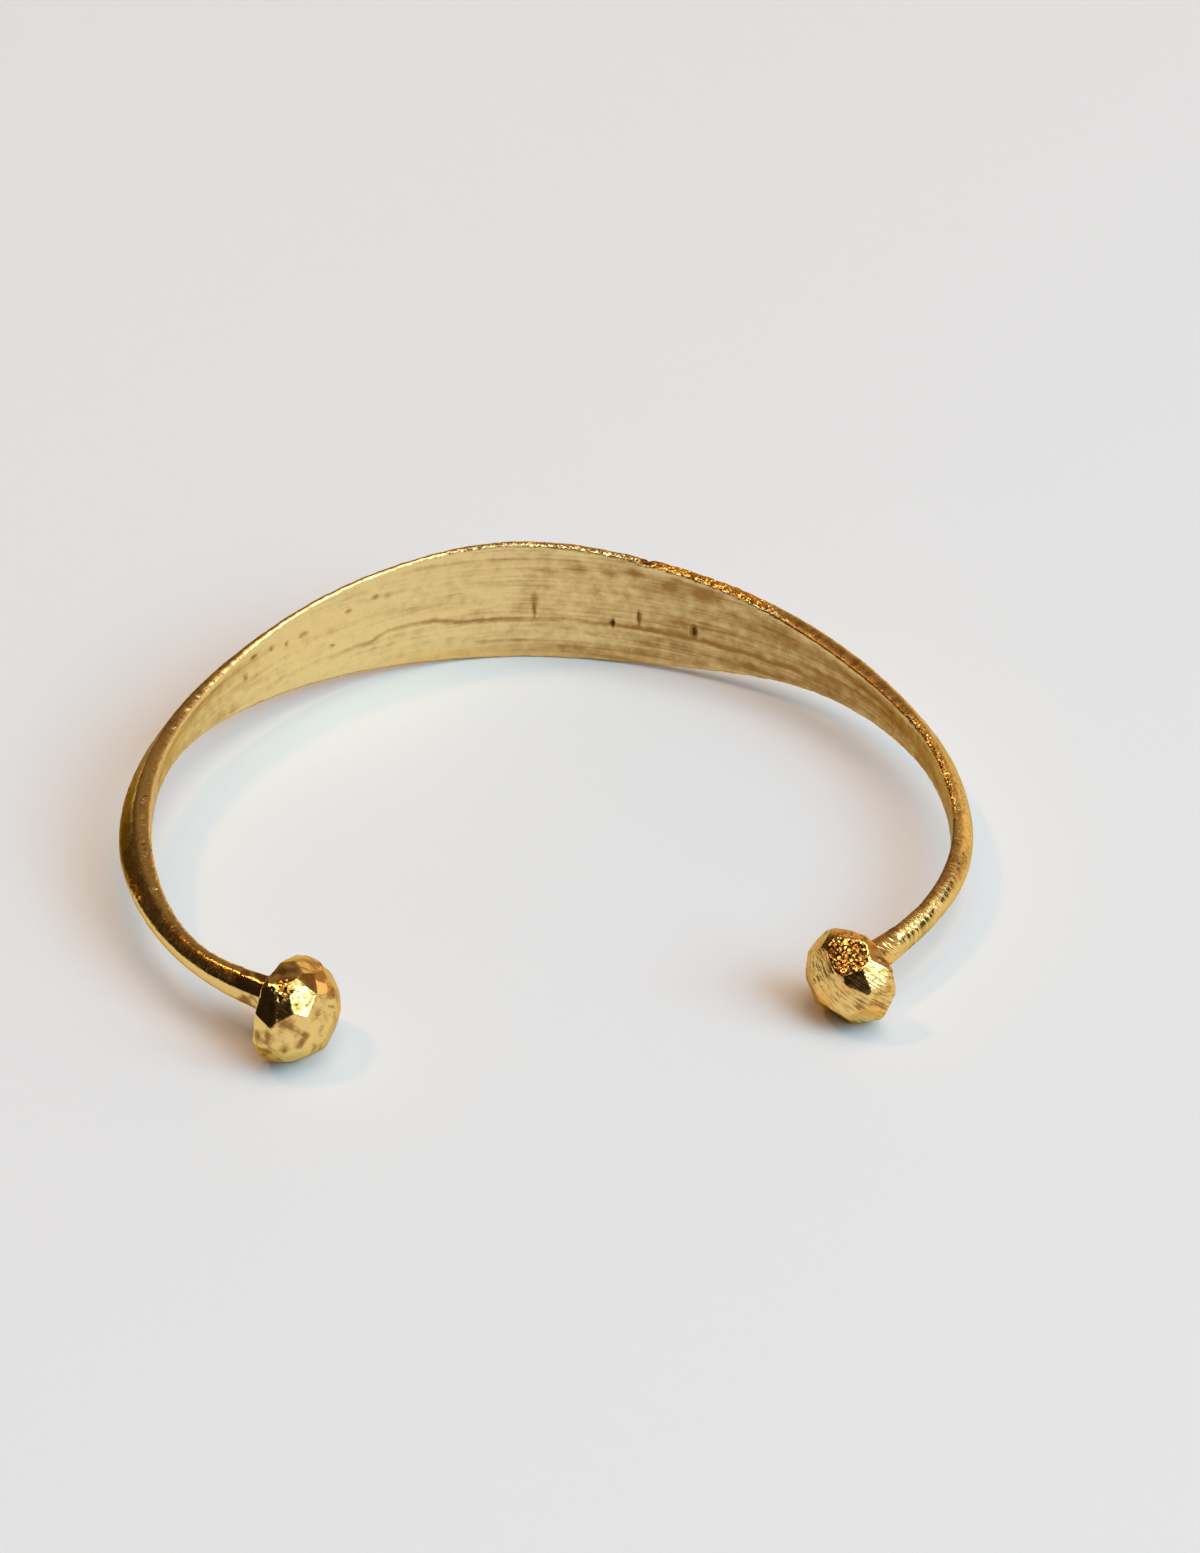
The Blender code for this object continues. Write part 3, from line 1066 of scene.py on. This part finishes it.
def brass_normal(tree, at):
    """The surface's direction, tilted in glittering cells, with fine scratches on it."""
    cell_settings = {"Vector": at.place, "Scale": mix_value(tree, at.right, 4.2, 6.4)}
    cells = add(tree, "ShaderNodeTexVoronoi", cell_settings).outputs["Color"]
    lean = vector_maths(tree, "SUBTRACT", cells, (0.5, 0.5, 0.5))
    tilt = maths(tree, "MULTIPLY", at.glitter, mix_value(tree, at.right, 1.1, 1.3))
    plain = add(tree, "ShaderNodeNewGeometry").outputs["Normal"]
    tilted = vector_maths(tree, "ADD", plain, scaled(tree, lean, tilt))
    cross_marks = noise(tree, stretched(tree, at.along, at.across, 5.0, 0.5), 1.0, 3.0, 0.7)
    marks = layered(
        tree,
        (mix_value(tree, at.right, 1.0, 2.2), at.scratches, at.knobs),
        (mix_value(tree, at.knobs, 0.7, 0.25), noise(tree, at.place, 5.0, 3.0, 0.6)),
        (1.4, at.fine_streaks, at.inner),
        (2.6, cross_marks, at.arms, at.top, mix_value(tree, at.right, 0.3, 1.0)),
    )
    return add(
        tree,
        "ShaderNodeBump",
        {
            "Height": marks,
            "Distance": SCRATCH_DEPTH * MM,
            "Strength": SCRATCH_STRENGTH,
            "Normal": vector_maths(tree, "NORMALIZE", tilted),
        },
    ).outputs[0]


class CUFF_OT_studio_stage(bpy.types.Operator):
    """Set the floor, the lights and the camera."""

    bl_idname = "cuff.studio_stage"
    bl_label = "Studio Stage"

    def execute(self, context):
        settings = context.scene.cuff_stage
        studio_floor(settings)
        room_light(context.scene, settings)
        for name, azimuth, elevation, distance, size, radiance, tint in LAMPS:
            place = lamp_place(radians(azimuth), radians(elevation), distance)
            direct_lamp(name, place, size, radiance, getattr(settings, tint))
        studio_camera(context.scene)
        context.scene.view_settings.view_transform = "Standard"
        return {"FINISHED"}


def studio_floor(settings):
    bpy.ops.object.select_all(action="DESELECT")
    bpy.ops.mesh.primitive_plane_add(size=FLOOR_SIDE)
    floor = bpy.context.object
    floor.name = "studio_floor"
    material = bpy.data.materials.new("floor_paint")
    material.use_nodes = True
    shader = material.node_tree.nodes["Principled BSDF"]
    shader.inputs["Base Color"].default_value = colour(settings.floor)
    shader.inputs["Roughness"].default_value = FLOOR_ROUGHNESS
    shader.inputs["Specular IOR Level"].default_value = FLOOR_SPECULAR
    floor.data.materials.append(material)


def room_light(scene, settings):
    """Light the room by direction: dim walls, a low glow on the right, and the ceiling."""
    world = bpy.data.worlds.new("studio_room")
    world.use_nodes = True
    tree = world.node_tree
    tree.nodes.clear()
    x, y, z = separated(tree, add(tree, "ShaderNodeTexCoord").outputs["Generated"])
    back = ramp(tree, y, -0.2, 0.8, 0.0, BACK_TONE)
    right = ramp(tree, x, 0.1, 0.8, 0.0, RIGHT_TONE)
    walls = product(
        tree, total_of(tree, WALL_TONE, back, right), ramp(tree, x, -0.7, 0.0, LEFT_SHARE, 1.0)
    )
    glow = product(tree, ramp(tree, z, 0.18, 0.42, GLOW_TONE, 0.0), ramp(tree, x, -0.5, 0.3))
    ceiling = ramp(tree, z, 0.84, 0.98, 0.0, CEILING_TONE)
    total = total_of(tree, walls, glow, ceiling)
    shade = mix_colour(
        tree,
        maths(tree, "DIVIDE", walls, total),
        colour(settings.warm_room),
        colour(settings.brown_wall),
    )
    seen = add(tree, "ShaderNodeLightPath").outputs["Is Camera Ray"]
    shade = mix_colour(tree, seen, shade, BACKDROP)
    strength = mix_value(tree, seen, maths(tree, "MULTIPLY", total, settings.room), 1.0)
    background = add(tree, "ShaderNodeBackground", {0: shade, 1: strength})
    add(tree, "ShaderNodeOutputWorld", {0: background.outputs[0]})
    scene.world = world


def lamp_place(turn, rise, distance):
    """Where a lamp stands. Its turn goes from +Y towards +X."""
    return Vector((sin(turn) * cos(rise), cos(turn) * cos(rise), sin(rise))) * distance


def direct_lamp(name, place, size, radiance, tint):
    """Add a rectangular lamp that shines at the cuff. Radiance is its face's brightness."""
    lamp = bpy.data.lights.new(name, "AREA")
    lamp.shape = "RECTANGLE"
    lamp.size, lamp.size_y = size
    lamp.energy = radiance * pi * size[0] * size[1]
    lamp.color = tint
    holder = bpy.data.objects.new(name, lamp)
    holder.location = place
    holder.rotation_euler = (-place).to_track_quat("-Z", "Y").to_euler()
    bpy.context.scene.collection.objects.link(holder)


def camera_matrix():
    """Place and turn the camera from the angles that it looks along."""
    turn, elevation = radians(CAMERA_TURN), radians(CAMERA_ELEVATION)
    right = Vector((cos(turn), -sin(turn), 0))
    ahead = Vector((sin(turn), cos(turn), 0))
    view = ahead * cos(elevation) - Vector((0, 0, 1)) * sin(elevation)
    up = ahead * sin(elevation) + Vector((0, 0, 1)) * cos(elevation)
    off_axis = right * CAMERA_ASIDE + up * CAMERA_ABOVE
    place = Vector(CAMERA_PIVOT) - off_axis - view * CAMERA_DISTANCE
    turned = Matrix((right, up, -view)).transposed().to_4x4()
    return Matrix.Translation(place) @ turned


def studio_camera(scene):
    camera = bpy.data.cameras.new("studio_camera")
    camera.sensor_width = SENSOR_SIZE
    camera.lens = FOCAL_LENGTH_PIXELS / FRAME_HEIGHT_PIXELS * SENSOR_SIZE
    camera.clip_start = 0.01
    camera.clip_end = 20.0
    holder = bpy.data.objects.new("studio_camera", camera)
    holder.matrix_world = camera_matrix()
    scene.collection.objects.link(holder)
    scene.camera = holder


class CUFF_PT_panel(bpy.types.Panel):
    """Lists the settings and the steps that make the cuff."""

    bl_idname = "CUFF_PT_panel"
    bl_label = "Cast Brass Cuff"
    bl_space_type = "VIEW_3D"
    bl_region_type = "UI"
    bl_category = "Cuff"

    def draw(self, context):
        layout = self.layout
        for group in (context.scene.cuff_metal, context.scene.cuff_stage):
            for name in group.__annotations__:
                layout.prop(group, name)
        for operator in STEPS:
            layout.operator(operator.bl_idname)


STEPS = (CUFF_OT_cast_metal, CUFF_OT_brass_finish, CUFF_OT_studio_stage)
CLASSES = (CuffMetalSettings, CuffStageSettings, *STEPS, CUFF_PT_panel)


def register():
    for made in CLASSES:
        bpy.utils.register_class(made)
    bpy.types.Scene.cuff_metal = PointerProperty(type=CuffMetalSettings)
    bpy.types.Scene.cuff_stage = PointerProperty(type=CuffStageSettings)


def unregister():
    del bpy.types.Scene.cuff_stage
    del bpy.types.Scene.cuff_metal
    for made in reversed(CLASSES):
        bpy.utils.unregister_class(made)


def main():
    register()
    bpy.ops.cuff.cast_metal()
    bpy.ops.cuff.brass_finish()
    bpy.ops.cuff.studio_stage()


if __name__ == "__main__":
    main()
